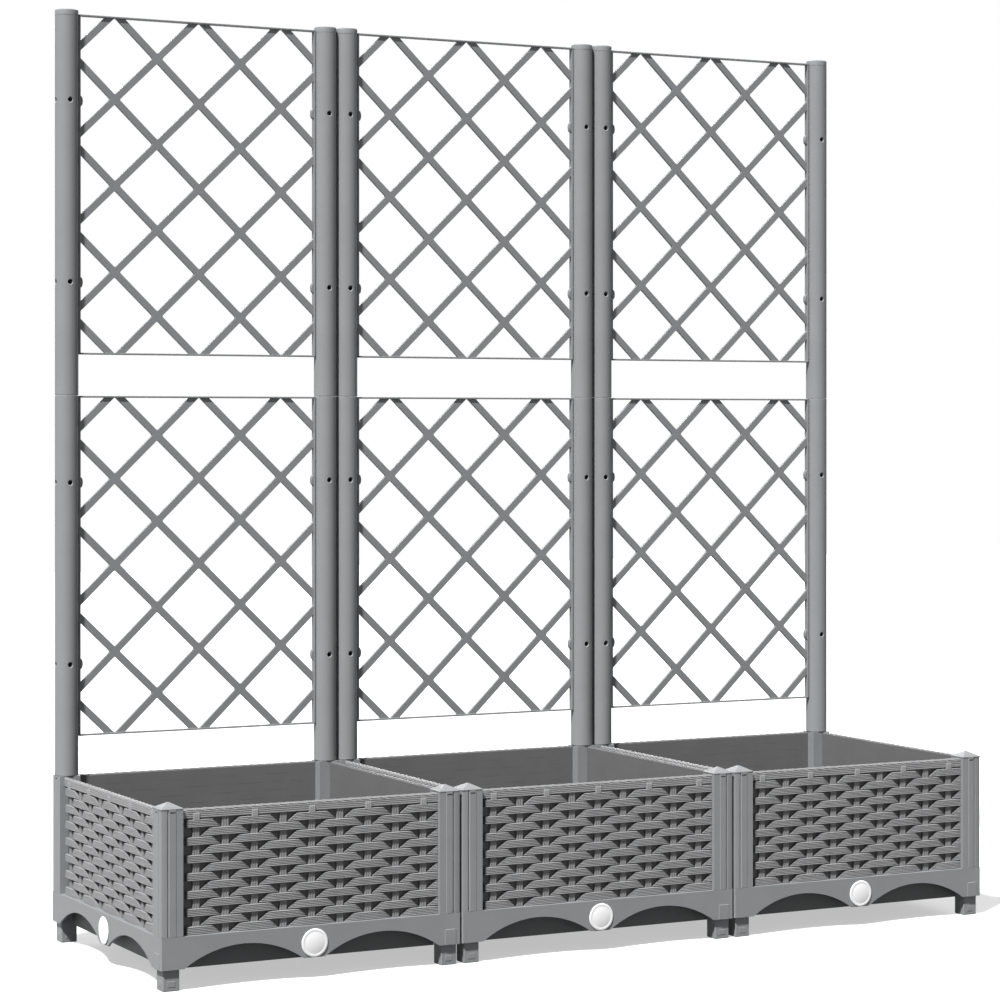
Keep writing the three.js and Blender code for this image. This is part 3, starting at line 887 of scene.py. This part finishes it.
def clipped(points, inside):
    """The part of a convex outline where inside(point) isn't negative."""
    kept = []
    for i, point in enumerate(points):
        after = points[(i + 1) % len(points)]
        here, there = inside(point), inside(after)
        if here >= 0:
            kept.append(point)
        if here * there < 0:
            share = here / (here - there)
            kept.append((mix(point[0], after[0], share), mix(point[1], after[1], share)))
    return kept


def lattice_openings(right, top):
    """Diamonds between the crossing slats, cut off along the frame bars, anticlockwise."""
    slope = math.atan2(SLAT_STEP_Z, SLAT_STEP_X)
    a = SLAT_STEP_X - SLAT_WIDTH / 2 / math.sin(slope)
    b = SLAT_STEP_Z - SLAT_WIDTH / 2 / math.cos(slope)
    edges = [lambda p: right - p[0], lambda p: right + p[0], lambda p: top - p[1], lambda p: top + p[1]]
    columns, rows = math.ceil(right / SLAT_STEP_X), math.ceil(top / SLAT_STEP_Z)
    openings = []
    for column in range(-columns, columns + 1):
        for row in range(-rows, rows + 1):
            x, z = column * SLAT_STEP_X, row * SLAT_STEP_Z
            opening = [(x + a, z), (x, z + b), (x - a, z), (x, z - b)]
            for edge in edges:
                opening = clipped(opening, edge)
            if (column + row) % 2 and len(opening) > 2:
                openings.append(rounded_outline(opening, SLAT_ROUNDING))
    return openings


def slat_sheet(half_width, half_height, middle):
    """The crossing slats as one sheet whose openings have chamfered edges."""
    depth = SLAT_DEPTH / 2
    bar = LATTICE_BAR_CLIP * LATTICE_BAR
    cutter = Shells()
    for opening in lattice_openings(half_width - bar, half_height - bar):
        flared = offset_outline(opening, 2 * SLAT_EDGE)
        levels = ((flared, -depth - SLAT_EDGE), (opening, -depth + SLAT_EDGE),
                  (opening, depth - SLAT_EDGE), (flared, depth + SLAT_EDGE))
        cutter.loft([[(x, y, middle + z) for x, z in outline] for outline, y in levels])
    right, top = half_width - MM, half_height - MM
    sheet = Shells()
    sheet.block((-right, -depth, middle - top), (right, depth, middle + top))
    return joined(sheet.mesh("sheet"), [cutter.mesh("openings")], "DIFFERENCE", "slats")


def frame_bars(shells, side, half_width, half_height, middle):
    """An upright bar on one side of a panel, and a level bar at one end of it."""
    depth = LATTICE_BAR_DEPTH / 2
    near, far = sorted((side * (half_width - LATTICE_BAR), side * half_width))
    low, high = sorted((middle + side * (half_height - LATTICE_BAR), middle + side * half_height))
    upright = ((near, -depth, middle - half_height), (far, depth, middle + half_height))
    level = ((-half_width, -depth, low), (half_width, depth, high))
    for start, end in (upright, level):
        shells.block(start, end, LATTICE_BAR_BEVEL)


def stud(shells, side, half_width, z):
    """A round stud on the outside of an upright bar, and the half-round boss behind it."""
    root = half_width - STUD_ROOT
    boss = []
    for step in range(BOSS_STEPS + 1):
        angle = math.pi * (step / BOSS_STEPS - 0.5)
        reach = half_width - LATTICE_BAR - BOSS_REACH * math.cos(angle)
        boss.append((side * reach, z + BOSS_HALF_HEIGHT * math.sin(angle)))
    boss += [(side * root, z + BOSS_HALF_HEIGHT), (side * root, z - BOSS_HALF_HEIGHT)]
    depth = LATTICE_BAR_DEPTH / 2 - BOSS_INSET
    shells.loft([[(x, y, v) for x, v in boss] for y in (-depth, depth)])
    pin = Shells()
    pin.turned(in_metres(STUD_PROFILE), STUD_SIDES)
    turn = Matrix.Rotation(side * math.pi / 2, 4, "Y")
    shells.add_moved(pin, Matrix.Translation((side * root, 0, z)) @ turn)


def lattice_mesh(level):
    low, high = (Vector(corner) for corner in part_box(f"middle_lattice_{level}"))
    middle = (low.z + high.z) / 2
    half_height = (high.z - low.z) / 2
    half_width = PILLAR_CENTRE - POST_RADIUS - CLEARANCE
    shells = Shells()
    slats = slat_sheet(half_width, half_height, middle)
    shells.add([tuple(v.co) for v in slats.vertices], [list(face.vertices) for face in slats.polygons])
    for side in (-1, 1):
        frame_bars(shells, side, half_width, half_height, middle)
        for z in stud_levels(level):
            stud(shells, side, half_width, z)
    return shells.mesh(f"lattice_{level}", smooth_angle=17)


# ---------------------------------------------------------------- the object
def place_sides(box, wall, pillars, plug):
    """The walls and corner pillars of a box, and its plugs where the CAD model has them."""
    x = box_x(box)
    for turn, (side, corner) in enumerate(zip(SIDES, CORNERS)):
        place(f"{box}_woven_wall_{side}", wall, WOVEN, f"{box}_wall_{side}", x, 0, turn)
        pillar = pillars[corner.split("_")[0]]
        place(f"{box}_corner_{corner}", pillar, SMOOTH, f"{box}_pillar_{corner}",
              x, 0, turn)
        if f"{box}_plug_{side}" in frame["nodes"]:
            place(f"{box}_cover_{side}", plug, WHITE, f"{box}_plug_{side}", x, 0, turn)


def place_trellis(box, posts, panels):
    """The posts and lattice panels of a box."""
    x = box_x(box)
    for level in LEVELS:
        place(f"{box}_panel_{level}", panels[level], LATTICE, f"{box}_lattice_{level}",
              x, PILLAR_CENTRE)
        for side, sign in (("left", -1), ("right", 1)):
            place(f"{box}_tube_{side}_{level}", posts[level], SMOOTH, f"{box}_post_{side}_{level}",
                  x + sign * PILLAR_CENTRE, PILLAR_CENTRE)


def box_x(box):
    return (BOXES.index(box) - 1) * PITCH


def build_object():
    wall = wall_mesh()
    pillars = {"front": pillar_mesh("pillar_capped", True), "rear": pillar_mesh("pillar_open", False)}
    base = base_mesh()
    plug = plug_mesh()
    posts = {level: post_mesh(level) for level in LEVELS}
    panels = {level: lattice_mesh(level) for level in LEVELS}
    for box in BOXES:
        place_sides(box, wall, pillars, plug)
        place(f"{box}_skirt", base, SMOOTH, f"{box}_base_frame", box_x(box))
        place_trellis(box, posts, panels)


def dress_cad_nodes():
    """Trays and links keep their CAD shape, with softened edges and a dark tone that is painted shade
    for the shaded space inside the skirts.
    """
    for name, node in frame["nodes"].items():
        if "floor_tray" in name or name.startswith("link_"):
            node.data.materials.clear()
            node.data.materials.append(TRAY_PAINTED_SHADE)
            add_bevel(node, "soft_edges", SOFT_EDGE)


# ---------------------------------------------------------------- floor, light and camera
def seen_rays(tree):
    """1 for the rays that show the floor or background to the camera, and 0 for the rest."""
    ray = tree.nodes.new("ShaderNodeLightPath")
    total = ray.outputs["Is Camera Ray"]
    for name in ("Is Glossy Ray", "Is Transmission Ray"):
        larger = tree.nodes.new("ShaderNodeMath")
        larger.operation = "MAXIMUM"
        tree.links.new(total, larger.inputs[0])
        tree.links.new(ray.outputs[name], larger.inputs[1])
        total = larger.outputs[0]
    return total


def floor():
    mesh = bpy.data.meshes.new("floor")
    corners = chamfered(-FLOOR_HALF, -FLOOR_HALF, FLOOR_HALF, FLOOR_HALF, 0)
    mesh.from_pydata([(x, y, 0) for x, y in corners], [], [[0, 1, 2, 3]])
    piece = in_scene("floor", mesh)
    material, tree, shader = node_tree("pale_floor")
    shader.inputs["Roughness"].default_value = FLOOR_ROUGHNESS
    shader.inputs["Specular IOR Level"].default_value = 0
    shader.inputs["Emission Color"].default_value = (1, 1, 1, 1)
    seen = seen_rays(tree)
    for socket, levels in (("Base Color", FLOOR_TONE), ("Emission Strength", FLOOR_GLOW)):
        tree.links.new(spread(tree, seen, *levels), shader.inputs[socket])
    mesh.materials.append(material)


def world():
    """A white background, and a soft ambient light that is stronger from the left."""
    scene_world = bpy.data.worlds.new("studio")
    bpy.context.scene.world = scene_world
    scene_world.use_nodes = True
    tree = scene_world.node_tree
    nodes, links = tree.nodes, tree.links
    nodes.clear()
    towards = nodes.new("ShaderNodeVectorMath")
    towards.operation = "DOT_PRODUCT"
    towards.inputs[1].default_value = AMBIENT_FROM
    links.new(nodes.new("ShaderNodeTexCoord").outputs["Generated"], towards.inputs[0])
    ambient, white = nodes.new("ShaderNodeBackground"), nodes.new("ShaderNodeBackground")
    for shader in (ambient, white):
        shader.inputs["Color"].default_value = (1, 1, 1, 1)
    links.new(spread(tree, towards.outputs["Value"], *AMBIENT, start=-1), ambient.inputs["Strength"])
    white.inputs["Strength"].default_value = 1
    choose = nodes.new("ShaderNodeMixShader")
    links.new(seen_rays(tree), choose.inputs["Fac"])
    links.new(ambient.outputs[0], choose.inputs[1])
    links.new(white.outputs[0], choose.inputs[2])
    links.new(choose.outputs[0], nodes.new("ShaderNodeOutputWorld").inputs["Surface"])


def sun(name, energy, angle, towards):
    """A lamp that shines from the given direction, angle degrees wide."""
    light = bpy.data.lights.new(name, "SUN")
    light.energy = energy
    light.angle = math.radians(angle)
    in_scene(name, light).rotation_euler = Vector(towards).to_track_quat("Z", "Y").to_euler()


def camera():
    """A level camera to the front left, found by fitting the box, post and panel edges."""
    data = bpy.data.cameras.new("camera")
    data.sensor_width = CAMERA_SENSOR
    data.lens = CAMERA_LENS
    data.shift_y = CAMERA_SHIFT
    eye = in_scene("camera", data)
    eye.location = CAMERA_PLACE
    eye.rotation_euler = (math.radians(90), 0, math.radians(CAMERA_TURN))
    bpy.context.scene.camera = eye


build_object()
dress_cad_nodes()
floor()
world()
sun("key", KEY_ENERGY, KEY_ANGLE, KEY_FROM)
sun("back_fill", FILL_ENERGY, FILL_ANGLE, FILL_FROM)
camera()
bpy.context.scene.view_settings.view_transform = "Standard"
